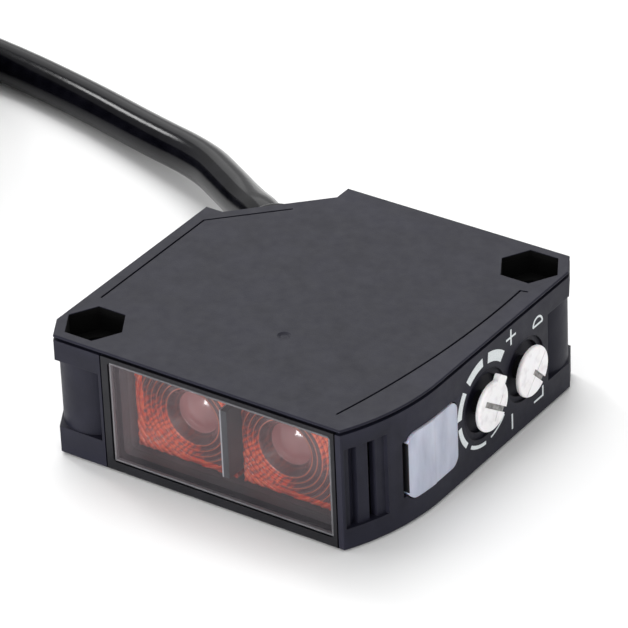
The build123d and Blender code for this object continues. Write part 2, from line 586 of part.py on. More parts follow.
def stroke(y0, z0, y1, z1):
    """A straight printed stroke between two points of the control face."""
    length = math.hypot(y1 - y0, z1 - z0) + PRINT_W
    angle = math.degrees(math.atan2(z1 - z0, y1 - y0))
    return Pos((y0 + y1) / 2, (z0 + z1) / 2) * Rot(0, 0, angle) * Rectangle(length, PRINT_W)


def scale_marks():
    """White printed marks: the tapering scale, its plus and minus, and two mode signs."""
    middle = Pos(SCALE_Y + MARK_SHIFT_Y, MID_Z + MARK_SHIFT_Z)
    faces = [middle * scale_mark(index) for index in range(MARKS)]
    upright = stroke(SIGN_Y, PLUS_Z - SIGN_HALF, SIGN_Y, PLUS_Z + SIGN_HALF)
    faces.append(upright + stroke(SIGN_Y - SIGN_HALF, PLUS_Z, SIGN_Y + SIGN_HALF, PLUS_Z))
    faces.append(stroke(SIGN_Y, MINUS_Z - SIGN_HALF, SIGN_Y, MINUS_Z + SIGN_HALF))
    left, right = MODE_SIGN_Y - SIGN_HALF, MODE_SIGN_Y + SIGN_HALF
    bow = Circle(BOW_R + PRINT_W / 2) - Circle(BOW_R - PRINT_W / 2)
    bow &= Pos(0, BOW_R) * Rectangle(4 * BOW_R, 2 * BOW_R)
    faces.append(Pos(MODE_SIGN_Y, BOW_Z) * bow + stroke(left, BOW_Z, right, BOW_Z))
    faces.append(stroke(left, CORNER_Z, right, CORNER_Z)
                 + stroke(right, CORNER_Z, right, CORNER_Z + CORNER_TALL))
    plane = Plane(origin=(HALF, 0, 0), x_dir=(0, 1, 0), z_dir=(1, 0, 0))
    return Compound(children=[extrude(plane * face, PRINT_T) for face in faces])


def cable_bush():
    """Strain relief: inner flange, neck in the wall and a ribbed round-ended sleeve."""
    inner = FACE_REACH - WALL
    sleeve = rod_out(FACE_REACH, MOUTH_REACH, SLEEVE_R)
    rims = sleeve.edges().filter_by(GeomType.CIRCLE).sort_by(Axis((0, 0, 0), OUT))
    bush = fillet(rims[-1], SLEEVE_ROUND)
    bush += rod_out(inner - FLANGE_T, inner, FLANGE_R) + rod_out(inner, FACE_REACH, NECK_R)
    for i in range(2):
        at = FACE_REACH + RIB_FROM + RIB_PITCH * i
        bush -= rod_out(at, at + RIB_W, SLEEVE_R + 1) - rod_out(at, at + RIB_W, SLEEVE_R - RIB_DEEP)
    return bush - rod_out(inner - 2 * FLANGE_T, MOUTH_REACH + 1, CABLE_R)


def cable_entry():
    """The sheath inside the strain relief, ending inside the case."""
    return rod_out(ENTRY_END, MOUTH_REACH, CABLE_R)


def cable_crimp():
    """Band crimped on the sheath so that the cable can't be pulled out."""
    start = ENTRY_END + CRIMP_FROM
    band = rod_out(start, start + CRIMP_W, CABLE_R + CRIMP_T)
    return band - rod_out(ENTRY_END, start + CRIMP_W + 1, CABLE_R)


def lead(index):
    """An insulated core from the sheath's end down to its solder pad."""
    side = Vector(OUT.Y, -OUT.X, 0) * (LEAD_SPREAD * (index - 1))
    start = reach_point(ENTRY_END) + side
    pad = Vector(PAD_X + PAD_PITCH * index, PAD_Y, BOARD_TOP)
    above = Vector(pad.X, pad.Y, pad.Z + LEAD_DROP)
    path = FilletPolyline(start, start - OUT * LEAD_OUT, above, pad, radius=[LEAD_BEND, LEAD_BEND])
    profile = Plane(origin=start, z_dir=-OUT) * Circle(LEAD_R)
    return sweep(profile, path=path)


def cable():
    """Sheath from the strain relief to the coil: straight runs and tangent arcs."""
    points = CABLE_ROUTE
    radii = []
    for before, at, after in zip(points, points[1:], points[2:]):
        first, second = at - before, after - at
        turn = math.radians(first.get_angle(second))
        shorter = min(first.length, second.length)
        radii.append(0.45 * shorter / math.tan(turn / 2))
    print("cable arc radii:", [round(r, 1) for r in radii])
    path = FilletPolyline(*points, radius=radii)
    profile = Plane(origin=points[0], z_dir=points[1] - points[0]) * Circle(CABLE_R)
    tube = sweep(profile, path=path)
    section = math.pi * CABLE_R**2 * path.length
    print("cable run", round(path.length, 1), "volume ratio", round(tube.volume / section, 5))
    return tube


def coil_ring(r0, r1, z0, z1, start=0.0, stop=360.0):
    """Part of a flat ring round the coil's axis."""
    plane = Plane(origin=(COIL_X, COIL_Y, 0), x_dir=(1, 0, 0), z_dir=(0, -1, 0))
    section = plane * (Pos((r0 + r1) / 2, (z0 + z1) / 2) * Rectangle(r1 - r0, z1 - z0))
    axis = Axis((COIL_X, COIL_Y, 0), (0, 0, 1))
    ring = revolve(section, axis, stop - start)
    return Pos(COIL_X, COIL_Y, 0) * Rot(0, 0, start) * Pos(-COIL_X, -COIL_Y, 0) * ring


def cable_coil():
    """Outer shape of the coil: two layers of three turns, two turns on top, a short end."""
    coil = coil_ring(COIL_IN, COIL_OUT, TIE_T, COIL_STEP)
    coil += coil_ring(COIL_IN + COIL_PITCH, COIL_OUT, COIL_STEP, COIL_TOP)
    coil += coil_ring(COIL_IN, COIL_IN + COIL_PITCH, COIL_STEP, COIL_TOP, STUB_FROM, STUB_TO)
    return coil


def coil_place(angle):
    return Pos(COIL_X, COIL_Y, 0) * Rot(0, 0, angle)


def cable_tie(angle):
    """Closed band round the coil's section, with its head on the outside."""
    inside = [(COIL_IN, TIE_T), (COIL_OUT, TIE_T), (COIL_OUT, COIL_TOP),
              (COIL_IN + COIL_PITCH, COIL_TOP), (COIL_IN, COIL_STEP)]
    plane = Plane(origin=(0, TIE_W / 2, 0), x_dir=(1, 0, 0), z_dir=(0, -1, 0))
    hole = make_face(Polyline(*inside, close=True))
    band = offset(hole, TIE_T, kind=Kind.INTERSECTION) - hole
    tie = extrude(plane * band, TIE_W)
    side = COIL_OUT + TIE_T
    head = box(side, side + HEAD_LONG, -HEAD_HALF, HEAD_HALF, MID_Z - HEAD_RISE, MID_Z + HEAD_RISE)
    tail = box(side + TAIL_AT, side + TAIL_AT + TAIL_T, -TAIL_HALF, TAIL_HALF,
               MID_Z + HEAD_RISE, MID_Z + TAIL_RISE)
    return coil_place(angle) * (tie + head + tail)


def core_arc(index, start, stop, r):
    """A bare-end core that lies on the coil's second layer."""
    radius = COIL_IN + CABLE_R + CORE_SPREAD * (index - 1)
    profile = Plane(origin=(radius, 0, 0), x_dir=(1, 0, 0), z_dir=(0, -1, 0)) * Circle(r)
    arc = revolve(profile, Axis.Z, stop - start)
    return Pos(0, 0, COIL_STEP + CORE_R) * coil_place(start) * arc


def core_tips():
    """Tinned copper ends of the three cores."""
    return Compound(children=[core_arc(i, CORE_TO, TIP_TO, TIP_R) for i in range(len(CORE_NAMES))])


def main():
    os.makedirs("parts", exist_ok=True)
    black, dark = (0.1, 0.1, 0.12), (0.05, 0.05, 0.06)
    white, orange = (0.9, 0.9, 0.88), (0.85, 0.25, 0.12)
    green, grey, copper = (0.05, 0.35, 0.2), (0.45, 0.45, 0.48), (0.8, 0.5, 0.3)
    core_colours = {"brown": (0.3, 0.15, 0.08), "blue": (0.1, 0.25, 0.7), "black": dark}
    save(case_shell(), "case_shell", black)
    save(top_cover(), "top_cover", black)
    save(front_bezel(), "front_bezel", dark)
    save(front_window(), "front_window", (0.5, 0.5, 0.55))
    save(window_gasket(), "window_gasket", dark)
    save(lens_holder(), "lens_holder", dark)
    save(light_baffle(), "light_baffle", grey)
    save(lens(0), "emitter_lens", orange)
    save(lens(1), "receiver_lens", orange)
    save(emitter_led(), "emitter_led", (0.9, 0.2, 0.2))
    save(receiver_photodiode(), "receiver_photodiode", dark)
    save(shield_can(), "shield_can", grey)
    save(optic_board(), "optic_board", green)
    save(main_board(), "main_board", green)
    save(control_board(), "control_board", green)
    save(board_links(), "board_links", copper)
    save(signal_chip(), "signal_chip", dark)
    save(output_transistors(), "output_transistors", dark)
    save(capacitors(), "capacitors", grey)
    save(resistors(), "resistors", dark)
    save(indicator_window(), "indicator_window", (0.75, 0.8, 0.95))
    save(indicator_led(LED_Y[0]), "operation_led", (1.0, 0.5, 0.1))
    save(indicator_led(LED_Y[1]), "stability_led", (0.2, 0.9, 0.3))
    save(sensitivity_dial(), "sensitivity_dial", white)
    save(dial_socket(SCALE_Y, TRIMMER_SIZE), "sensitivity_trimmer", (0.15, 0.25, 0.6))
    save(seal(SCALE_Y), "sensitivity_seal", dark)
    save(mode_dial(), "mode_dial", white)
    save(dial_socket(MODE_Y, SWITCH_SIZE), "mode_switch", (0.2, 0.2, 0.2))
    save(seal(MODE_Y), "mode_seal", dark)
    save(scale_marks(), "scale_marks", white)
    save(cable_bush(), "cable_bush", dark)
    save(cable_entry(), "cable_entry", dark)
    save(cable_crimp(), "cable_crimp", grey)
    save(cable(), "cable", dark)
    save(cable_coil(), "cable_coil", dark)
    for index, angle in enumerate(TIE_ANGLES):
        save(cable_tie(angle), f"cable_tie_{index + 1}", dark)
    for index, name in enumerate(CORE_NAMES):
        save(lead(index), f"lead_{name}", core_colours[name])
        save(core_arc(index, STUB_TO, CORE_TO, CORE_R), f"core_{name}", core_colours[name])
    save(core_tips(), "core_tips", copper)


main()
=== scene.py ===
import json
import math

import bmesh
import bpy
from mathutils import Matrix, Vector


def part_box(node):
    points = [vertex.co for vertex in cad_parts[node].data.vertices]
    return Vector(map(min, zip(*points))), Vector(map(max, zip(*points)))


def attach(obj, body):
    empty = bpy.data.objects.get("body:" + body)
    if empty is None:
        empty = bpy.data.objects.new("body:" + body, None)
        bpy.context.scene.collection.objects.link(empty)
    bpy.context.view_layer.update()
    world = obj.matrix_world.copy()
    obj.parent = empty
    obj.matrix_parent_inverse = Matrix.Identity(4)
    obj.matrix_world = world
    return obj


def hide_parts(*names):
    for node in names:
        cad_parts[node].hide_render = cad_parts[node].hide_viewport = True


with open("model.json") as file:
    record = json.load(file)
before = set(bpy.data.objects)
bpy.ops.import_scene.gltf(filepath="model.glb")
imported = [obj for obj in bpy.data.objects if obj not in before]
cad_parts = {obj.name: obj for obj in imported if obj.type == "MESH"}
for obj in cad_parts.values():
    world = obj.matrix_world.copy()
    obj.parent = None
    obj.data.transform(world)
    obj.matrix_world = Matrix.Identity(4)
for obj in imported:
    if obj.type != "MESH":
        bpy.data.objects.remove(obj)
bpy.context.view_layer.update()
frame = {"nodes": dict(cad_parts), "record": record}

MM = 0.001
NODES = frame["nodes"]
BODY = "sensor"
MID_Z = 8.9                         # half the case's thickness: height of lenses, dials and cable mouth

# ---- camera: a long lens, a little rolled, looking down on the lens and control faces ----
AZIMUTH, ELEVATION, ROLL = math.radians(35.42), math.radians(31.41), math.radians(-2.47)
AIM = Vector((-3.92, 5.36, 10.87)) * MM
DISTANCE = 602.8 * MM
FOCAL_MM, SENSOR_MM = 266.2, 36
CLIP = (0.01, 10)


def make_camera():
    """Set the camera at its distance from the aim, turned by the roll."""
    away = Vector((math.sin(AZIMUTH) * math.cos(ELEVATION),
                   -math.cos(AZIMUTH) * math.cos(ELEVATION), math.sin(ELEVATION)))
    level = Vector((math.cos(AZIMUTH), math.sin(AZIMUTH), 0))
    upright = away.cross(level)
    right = math.cos(ROLL) * level + math.sin(ROLL) * upright
    up = away.cross(right)
    data = bpy.data.cameras.new("camera")
    data.lens, data.sensor_width = FOCAL_MM, SENSOR_MM
    data.clip_start, data.clip_end = CLIP
    camera = bpy.data.objects.new("camera", data)
    turn = Matrix((right, up, away)).transposed()
    camera.matrix_world = Matrix.Translation(AIM + away * DISTANCE) @ turn.to_4x4()
    bpy.context.collection.objects.link(camera)
    bpy.context.scene.camera = camera


# ---- the cable: its route to the coil, then the coil's turns ----
CABLE_D = 6.0
MOUTH = 31.1                        # from the origin to the strain relief's mouth
FIRST_LEG = 4.0
DIAGONAL = math.sqrt(0.5)
COIL_X, COIL_Y = -122.0, 10.0
COIL_R, COIL_LIFT = 36.0, 0.8
CABLE_ROUTE = [
    (-MOUTH * DIAGONAL, MOUTH * DIAGONAL, MID_Z),
    (-(MOUTH + FIRST_LEG) * DIAGONAL, (MOUTH + FIRST_LEG) * DIAGONAL, MID_Z),
    (-31.0, 29.1, 7.1),
    (-37.6, 33.8, 6.1),
    (-45.8, 39.3, 5.0),
    (-57.9, 43.3, 3.8),
    (-72.8, 48.0, 3.1),
    (-91.0, 51.6, 3.1),
    (-107.0, 52.4, 3.5),
]
TURN_POINTS = 16
# each turn of the coil: steps out from the middle radius, and its layer
TURNS = [(1, 0), (0, 0), (-1, 0), (-1, 1), (0, 1), (1, 1), (1, 2), (0, 2), (-1, 2)]
STUB_STEPS = 2                      # steps of the last, short turn
STEP_FROM = 0.8                     # share of a turn after which it shifts to the next
COIL_START = 90                     # angle where the cable joins the coil, in degrees


def coil_point(step, layer, angle, widen):
    """A point of the coil, counted in cable widths out and in layers up."""
    radius = (COIL_R + step * CABLE_D) * widen
    height = COIL_LIFT + CABLE_D / 2 + layer * CABLE_D
    return (COIL_X + radius * math.cos(angle), COIL_Y + radius * math.sin(angle), height)


def coil_points():
    """Control points of the turns; they stand out so that the curve has the true radius."""
    widen = 1 / math.cos(math.pi / TURN_POINTS)
    points = []
    for index, (step, layer) in enumerate(TURNS):
        last = index == len(TURNS) - 1
        after = TURNS[min(index + 1, len(TURNS) - 1)]
        for k in range(STUB_STEPS + 1 if last else TURN_POINTS):
            share = k / TURN_POINTS
            blend = max(0.0, (share - STEP_FROM) / (1 - STEP_FROM))
            points.append(coil_point(step + (after[0] - step) * blend,
                                     layer + (after[1] - layer) * blend,
                                     math.radians(COIL_START) + math.tau * share, widen))
    return points


# ---- pieces from curves and meshes ----
ROD_ROUND, ROD_ALONG = 6, 8         # steps round a rod's quarter, and between its control points


def add_piece(name, data, material):
    """An object of this shape and material, fixed to the sensor's body."""
    piece = bpy.data.objects.new(name, data)
    bpy.context.collection.objects.link(piece)
    data.materials.append(material)
    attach(piece, BODY)
    return piece


def round_curve(name, radius, round_steps):
    """Empty curve data whose splines come out as closed round rods."""
    data = bpy.data.curves.new(name, "CURVE")
    data.dimensions = "3D"
    data.bevel_depth = radius * MM
    data.bevel_resolution = round_steps
    data.use_fill_caps = True
    return data


def add_spline(data, points, steps):
    """One open smooth curve along millimetre control points."""
    spline = data.splines.new("NURBS")
    spline.points.add(len(points) - 1)
    for target, point in zip(spline.points, points):
        target.co = (*(c * MM for c in point), 1)
    spline.order_u = 3
    spline.use_endpoint_u = True
    spline.resolution_u = steps


def make_rod(name, points, radius, material):
    """A round cable or core along one curve."""
    data = round_curve(name, radius, ROD_ROUND)
    add_spline(data, points, ROD_ALONG)
    return add_piece(name, data, material)


def mesh_piece(name, bm, material, smooth=True):
    """A piece from a finished bmesh."""
    data = bpy.data.meshes.new(name)
    bmesh.ops.recalc_face_normals(bm, faces=bm.faces)
    bm.to_mesh(data)
    bm.free()
    for face in data.polygons:
        face.use_smooth = smooth
    return add_piece(name, data, material)


# ---- material building blocks ----
def box_mm(node):
    """Lower and upper corner of a CAD node's box, in millimetres."""
    return [[c / MM for c in corner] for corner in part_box(node)]


class Look:
    """A node material with short helpers for grain, colour change and soft edges."""

    def __init__(self, name, colour, roughness, **sockets):
        self.material = bpy.data.materials.new(name)
        self.material.use_nodes = True
        self.nodes = self.material.node_tree.nodes
        self.links = self.material.node_tree.links
        self.shader = self.nodes["Principled BSDF"]
        self.shader.inputs["Base Color"].default_value = (*colour, 1)
        self.shader.inputs["Roughness"].default_value = roughness
        for socket, value in sockets.items():
            self.shader.inputs[socket.replace("_", " ")].default_value = value
        self.place = self.nodes.new("ShaderNodeTexCoord").outputs["Object"]

    def add(self, kind, **settings):
        node = self.nodes.new(kind)
        for key, value in settings.items():
            setattr(node, key, value)
        return node

    def join(self, source, target):
        self.links.new(source, target)

    def feed(self, socket, value):
        """Set a socket to a number or a colour, or link an output to it."""
        if isinstance(value, (int, float)):
            socket.default_value = value
        elif isinstance(value, tuple):
            socket.default_value = (*value, 1)
        else:
            self.join(value, socket)

    def axes(self):
        """The point's X, Y and Z in millimetres."""
        split = self.add("ShaderNodeSeparateXYZ")
        self.join(self.place, split.inputs["Vector"])
        return [self.math("DIVIDE", axis, MM) for axis in split.outputs]

    def noise(self, size_mm, detail=2.0, stretch=(1, 1, 1)):
        node = self.add("ShaderNodeTexNoise")
        node.inputs["Scale"].default_value = 1 / (size_mm * MM)
        node.inputs["Detail"].default_value = detail
        place = self.add("ShaderNodeMapping")
        place.inputs["Scale"].default_value = stretch
        self.join(self.place, place.inputs["Vector"])
        self.join(place.outputs["Vector"], node.inputs["Vector"])
        return node.outputs["Fac"]

    def ramp(self, source, low, high, at=(0.3, 0.7)):
        node = self.add("ShaderNodeValToRGB")
        first, second = node.color_ramp.elements
        first.position, second.position = at
        first.color, second.color = (*low, 1), (*high, 1)
        self.join(source, node.inputs["Fac"])
        return node.outputs["Color"]

    def math(self, operation, a, b=0.0, clamp=False):
        node = self.add("ShaderNodeMath", operation=operation, use_clamp=clamp)
        for socket, value in zip(node.inputs, (a, b)):
            self.feed(socket, value)
        return node.outputs["Value"]

    def total(self, a, b, clamp=False):
        return self.math("ADD", a, b, clamp)

    def minus(self, a, b):
        return self.math("SUBTRACT", a, b)

    def product(self, a, b):
        return self.math("MULTIPLY", a, b)

    def larger(self, a, b):
        return self.math("MAXIMUM", a, b)

    def below(self, a, limit):
        """1 where a is under the limit, else 0."""
        return self.math("LESS_THAN", a, limit)

    def above(self, a, limit):
        """1 where a is over the limit, else 0."""
        return self.math("GREATER_THAN", a, limit)

    def mix(self, factor, a, b):
        node = self.add("ShaderNodeMix", data_type="RGBA")
        self.join(factor, node.inputs["Factor"])
        self.feed(node.inputs[6], a)
        self.feed(node.inputs[7], b)
        return node.outputs[2]

    def colour(self, source):
        self.join(source, self.shader.inputs["Base Color"])

    def roughness(self, source, low, high):
        node = self.add("ShaderNodeMapRange")
        node.inputs["To Min"].default_value = low
        node.inputs["To Max"].default_value = high
        self.join(source, node.inputs["Value"])
        self.join(node.outputs["Result"], self.shader.inputs["Roughness"])

    def surface(self, height, depth_mm, edge_mm=0.0):
        """Bump from a height, over edges that are softened by edge_mm."""
        bump = self.add("ShaderNodeBump")
        bump.inputs["Distance"].default_value = depth_mm * MM
        bump.inputs["Strength"].default_value = 1.0
        self.join(height, bump.inputs["Height"])
        if edge_mm:
            soft = self.add("ShaderNodeBevel", samples=6)
            soft.inputs["Radius"].default_value = edge_mm * MM
            self.join(soft.outputs["Normal"], bump.inputs["Normal"])
        self.join(bump.outputs["Normal"], self.shader.inputs["Normal"])
        return self.material


# ---- plain materials ----
INK = (0.012, 0.012, 0.013)         # the black of small plastic parts


def moulded(name, low, high, rough, grain_mm=0.22, depth_mm=0.012, **sockets):
    """Moulded plastic: faint cloudy colour, fine spark-eroded grain and soft edges."""
    look = Look(name, low, rough[0], **sockets)
    look.colour(look.ramp(look.noise(3.5, 3), low, high))
    look.roughness(look.noise(1.6, 2), *rough)
    return look.surface(look.noise(grain_mm, 3), depth_mm, 0.1)


def metal(name, colour, rough, stretch):
    """Satin metal with fine streaks along the stretch."""
    look = Look(name, colour, rough, Metallic=1.0)
    streaks = look.noise(0.4, 3, stretch)
    look.roughness(streaks, rough, rough + 0.2)
    return look.surface(streaks, 0.004, 0.05)


def sheath_material():
    """Glossy black PVC sheath, faintly mottled."""
    look = Look("sheath", (0.003, 0.003, 0.005), 0.24, Specular_IOR_Level=0.12)
    look.colour(look.ramp(look.noise(2.5, 3), (0.001, 0.001, 0.002), (0.004, 0.004, 0.006)))
    look.roughness(look.noise(1.2, 2), 0.1, 0.18)
    return look.surface(look.noise(0.5, 2), 0.006)


def board_material():
    """Green solder mask with the traces raised under it."""
    look = Look("board", (0.02, 0.18, 0.07), 0.35)
    traces = look.add("ShaderNodeTexBrick")
    traces.inputs["Scale"].default_value = 1 / (4 * MM)
    traces.inputs["Mortar Size"].default_value = 0.03
    look.join(look.place, traces.inputs["Vector"])
    look.colour(look.mix(traces.outputs["Fac"], (0.015, 0.15, 0.06), (0.05, 0.3, 0.14)))
    return look.surface(traces.outputs["Fac"], 0.03)


def print_material():
    """Pad-printed white ink, a little thin and speckled."""
    look = Look("print", (0.6, 0.63, 0.64), 0.55)
    look.colour(look.ramp(look.noise(0.18, 3), (0.5, 0.54, 0.56), (0.72, 0.76, 0.77), (0.2, 0.5)))
    return look.surface(look.noise(0.15, 2), 0.01)


# ---- windows ----
LIT_END_REACH = 5.0                    # how far the painted light reaches in from the window's left end
SHADE_BAND = 0.04                    # how far from its nose end the indicator window is painted dark as shade on its side


def window_material():
    """Smoked flat window: lets most light through, with a thin grey veil, and painted light that makes it
    paler at one end.
    """
    look = Look("window", (0.1, 0.1, 0.115), 0.06, Alpha=0.2, IOR=1.5)
    low, _ = box_mm("front_window")
    veil = look.ramp(look.noise(6, 2), (0.085, 0.08, 0.09), (0.12, 0.11, 0.12))
    # painted light: the veil turns paler towards the window's left end
    beside = look.math("DIVIDE", look.minus(look.axes()[0], low[0]), LIT_END_REACH)
    painted_end_light = look.math("SUBTRACT", 1.0, beside, clamp=True)
    look.colour(look.mix(painted_end_light, veil, (0.26, 0.22, 0.24)))
    look.roughness(look.noise(2.5, 2), 0.04, 0.1)
    return look.material


def indicator_material():
    """Milky bluish window over the indicator LEDs, cloudier in streaks, with painted shade down its nose
    side.
    """
    look = Look("indicator", (0.4, 0.43, 0.58), 0.3, Subsurface_Weight=0.25,
                Subsurface_Scale=0.0012, Coat_Weight=0.2)
    low, _ = box_mm("indicator_window")
    streaks = look.noise(2.2, 3, (1, 1, 0.25))
    milk = look.ramp(streaks, (0.35, 0.37, 0.47), (0.5, 0.53, 0.63))
    # painted shade: the nose side is coloured near black
    side = look.below(look.axes()[1], low[1] + SHADE_BAND)
    look.colour(look.mix(side, milk, (0.01, 0.01, 0.012)))
    look.roughness(streaks, 0.22, 0.4)
    return look.surface(look.noise(0.6, 2), 0.02, 0.25)


# ---- dials ----
DIAL_FACE = 26.4                    # X of the dials' faces
SHAFT_SHADE_DEPTH = 0.8                     # depth under the face from which the dial's shaft is painted black as shade under the disc
SLOT_HALF, SLOT_LIP = 0.42, 0.1     # half the slot's width, and the depth where its painted shade starts
# dial: its look's name, the Y of its axis, the slot's angle, and where along it the slot starts
DIALS = {
    "sensitivity_dial": ("scale_dial", 1.05, -35.0, -2.3),
    "mode_dial": ("mode_dial", 10.65, -45.0, 0.0),
}


def dial_material(name, axis_y, slot_angle, slot_from):
    """Off-white moulded dial with flow marks; painted shade darkens its slot, and its shaft is painted
    black as shade under the disc.
    """
    look = Look(name, (0.8, 0.78, 0.79), 0.35, Subsurface_Weight=0.1, Subsurface_Scale=0.0005)
    white = look.ramp(look.noise(1.3, 4), (0.78, 0.75, 0.77), (0.94, 0.92, 0.93), (0.25, 0.5))
    x, y, z = look.axes()
    depth = look.minus(DIAL_FACE, x)
    y, z = look.minus(y, axis_y), look.minus(z, MID_Z)
    cos, sin = math.cos(math.radians(slot_angle)), math.sin(math.radians(slot_angle))
    along = look.total(look.product(y, cos), look.product(z, sin))
    across = look.minus(look.product(z, cos), look.product(y, sin))
    slot = look.product(look.below(look.math("ABSOLUTE", across), SLOT_HALF), look.above(along, slot_from))
    # painted shade in the slot, made uneven by noise
    slot_shade = look.product(slot, look.above(depth, SLOT_LIP))
    slot_shade = look.product(slot_shade, look.total(look.noise(0.7, 3), 0.3, clamp=True))
    shown = look.mix(slot_shade, white, (0.12, 0.11, 0.1))
    # painted shade: below the disc the shaft is coloured black
    look.colour(look.mix(look.above(depth, SHAFT_SHADE_DEPTH), shown, INK))
    look.roughness(look.noise(0.8, 2), 0.25, 0.45)
    return look.surface(look.noise(0.35, 3), 0.02, 0.12)


# ---- lenses ----
DISC_R, WELL_R = 3.0, 3.95          # the domed disc and the mouth of its well
WELL, DOME = 1.5, 0.78              # depth of the well, and rise of the disc at its bottom
RING_PITCH, RING_DEPTH = 0.78, 0.2
LENS_GRID = 0.085                   # spacing of the lens face's points
OUTER_RINGS = 5.4                   # radius from which the rings get painted light on their upper side too
EDGE_X, EDGE_Z = 1.1, 0.9           # width of the painted light along the lens's left and lower edges
LOWER_SIDE, UPPER_SIDE = (-0.71, -0.71), (0.85, 0.53)     # X and Z of the two sides where the rings get painted light
FACET_SLANT = 0.71                  # the facets lie along the X = Z diagonal
WEAVE = 8.5                         # their pitch, in radians per mm
LEAST_RADIUS = 0.5                  # keeps the division near the axis in bounds
# brightness of the painted light on the lens's lower edge
LOWER_EDGE_GLOW = 0.7
# colour of the painted glints
GLINT = (1.0, 0.24, 0.09)
# lens: the X of its axis, and how bright the painted light on its left edge is
LENSES = {"emitter_lens": (-5.0, 0.8), "receiver_lens": (9.2, 0.25)}


def lobe(look, x, z, radius, side, sharpness):
    """How far a ring looks towards one side, from 0 to 1; it weights the painted light."""
    slant = look.total(look.product(x, side[0]), look.product(z, side[1]))
    share = look.math("DIVIDE", slant, look.larger(radius, LEAST_RADIUS))
    return look.math("POWER", look.larger(share, 0.0), sharpness)


def painted_lens_light(look, x, z, radius, edges):
    """Painted light on the lens: its rings on two opposite sides, in facets, and its edges."""
    lower = lobe(look, x, z, radius, LOWER_SIDE, 2.0)
    upper = look.product(lobe(look, x, z, radius, UPPER_SIDE, 5.0), look.above(radius, OUTER_RINGS))
    upper = look.product(upper, 1.3)
    across = look.minus(look.product(z, FACET_SLANT), look.product(x, FACET_SLANT))
    across = look.total(across, look.product(look.noise(1.5, 2), 1.6))
    weave = look.math("SINE", look.product(across, WEAVE))
    weave = look.product(look.total(weave, 2.0), 0.4)
    streaks = look.total(look.product(look.noise(0.8, 4), 1.8), 0.1)
    painted_glow = look.product(look.total(lower, upper), look.product(streaks, weave))
    return look.larger(painted_glow, look.product(edges, streaks))


def lens_rings(look, radius, body):
    """Painted highlights on the rings' crests and painted shade in their troughs, laid over the body's
    colour.
    """
    wave = look.math("SINE", look.product(radius, math.tau / RING_PITCH))
    crest_highlight = look.math("POWER", look.larger(wave, 0.0), 6.0)
    ringed = look.mix(look.product(crest_highlight, 0.6), body, (1.0, 0.24, 0.12))
    trough_shade = look.product(look.larger(look.product(wave, -1.0), 0.0), 0.45)
    return look.mix(trough_shade, ringed, (0.1, 0.03, 0.03))


def lens_material(node, axis_x, side_glow):
    """Orange-red lens: a dusky disc in its well, then rings; the light the rings catch is painted into the
    colour, with painted glints and painted shade in the well.
    """
    look = Look(f"{node}_look", (0.6, 0.12, 0.05), 0.2, Coat_Weight=1.0, Coat_Roughness=0.03)
    low, _ = box_mm(node)
    place_x, _, place_z = look.axes()
    x, z = look.minus(place_x, axis_x), look.minus(place_z, MID_Z)
    radius = look.math("SQRT", look.total(look.product(x, x), look.product(z, z)))
    edges = look.larger(look.product(look.below(place_x, low[0] + EDGE_X), side_glow),
                        look.product(look.below(place_z, low[2] + EDGE_Z), LOWER_EDGE_GLOW))
    # painted light: bright orange where the rings and edges would catch the light
    painted_glow = painted_lens_light(look, x, z, radius, edges)
    body = look.ramp(painted_glow, (0.11, 0.05, 0.054), (1.0, 0.08, 0.02), (0.15, 0.9))
    # painted glints: small bright spots where the painted light is strong
    painted_glint = look.above(look.product(look.noise(0.45, 3), painted_glow), 0.46)
    body = look.mix(look.product(painted_glint, 0.5), body, GLINT)
    shown = lens_rings(look, radius, body)
    # painted shade: the well's wall is coloured dark
    shown = look.mix(look.product(look.below(radius, WELL_R), 0.85), shown, (0.13, 0.07, 0.07))
    dusk = look.ramp(look.noise(4, 1), (0.34, 0.13, 0.13), (0.42, 0.17, 0.17))
    look.colour(look.mix(look.below(radius, DISC_R), shown, dusk))
    return look.surface(look.noise(0.4, 2), 0.006)


def lens_height(radius):
    """How far the lens face stands out at a distance from its axis."""
    if radius < DISC_R:
        return DOME * (1 - (radius / DISC_R)**2) - WELL
    if radius < WELL_R:
        return WELL * (radius - WELL_R) / (WELL_R - DISC_R)
    share = ((radius - WELL_R) / RING_PITCH) % 1.0
    return -RING_DEPTH * share


def make_lens(node, axis_x, side_glow):
    """A lens block whose front carries the stepped rings and the disc down in its well."""
    (x0, front, z0), (x1, back, z1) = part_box(node)
    columns = round((x1 - x0) / (LENS_GRID * MM))
    rows = round((z1 - z0) / (LENS_GRID * MM))
    bm = bmesh.new()
    grid = []
    for i in range(columns + 1):
        x = x0 + (x1 - x0) * i / columns
        line = []
        for j in range(rows + 1):
            z = z0 + (z1 - z0) * j / rows
            radius = math.hypot(x / MM - axis_x, z / MM - MID_Z)
            line.append(bm.verts.new((x, front - lens_height(radius) * MM, z)))
        grid.append(line)
    for i in range(columns):
        for j in range(rows):
            bm.faces.new((grid[i][j], grid[i + 1][j], grid[i + 1][j + 1], grid[i][j + 1]))
    lower = [line[0] for line in grid]
    upper = [line[-1] for line in grid]
    rim = lower + grid[-1][1:] + upper[-2::-1] + grid[0][-2:0:-1]
    behind = [bm.verts.new((v.co.x, back, v.co.z)) for v in rim]
    for k in range(len(rim)):
        after = (k + 1) % len(rim)
        bm.faces.new((rim[k], rim[after], behind[after], behind[k]))
    bm.faces.new(behind)
    piece = mesh_piece(f"{node}_rings", bm, lens_material(node, axis_x, side_glow))
    piece.data.set_sharp_from_angle(angle=math.radians(50))
    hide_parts(node)


BAFFLE_HIGHLIGHT = 0.22                  # width of the painted highlight on the wall's front corner


